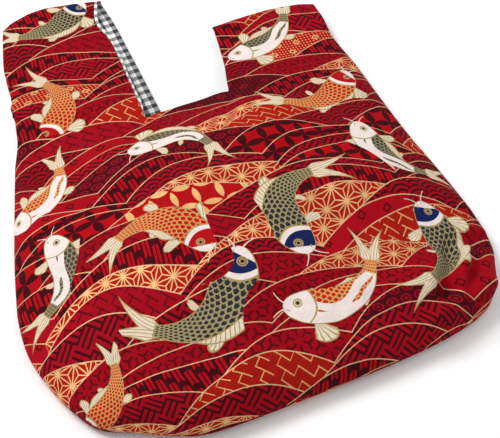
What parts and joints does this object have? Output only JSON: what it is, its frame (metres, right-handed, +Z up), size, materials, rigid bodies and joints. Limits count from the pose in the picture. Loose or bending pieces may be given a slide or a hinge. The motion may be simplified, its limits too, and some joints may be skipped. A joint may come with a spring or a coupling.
{
  "type": "knot bag",
  "caption": "Soft lined fabric knot bag lying flat, with one long and one short handle loop, to carry small things over the wrist.",
  "frame": {"origin": "on the table, under the middle of the whole bag", "axes": "+Y from the bottom seam to the handles, +X towards the short handle, +Z up out of the front panel"},
  "size_m": [0.3466, 0.4438, 0.05],
  "materials": {
    "outer_cloth": "matte printed cotton",
    "lining_cloth": "matte woven gingham"
  },
  "bodies": {
    "root": {"front_panel": "outer_cloth", "back_panel": "outer_cloth", "front_lining": "lining_cloth", "back_lining": "lining_cloth"}
  },
  "joints": []
}
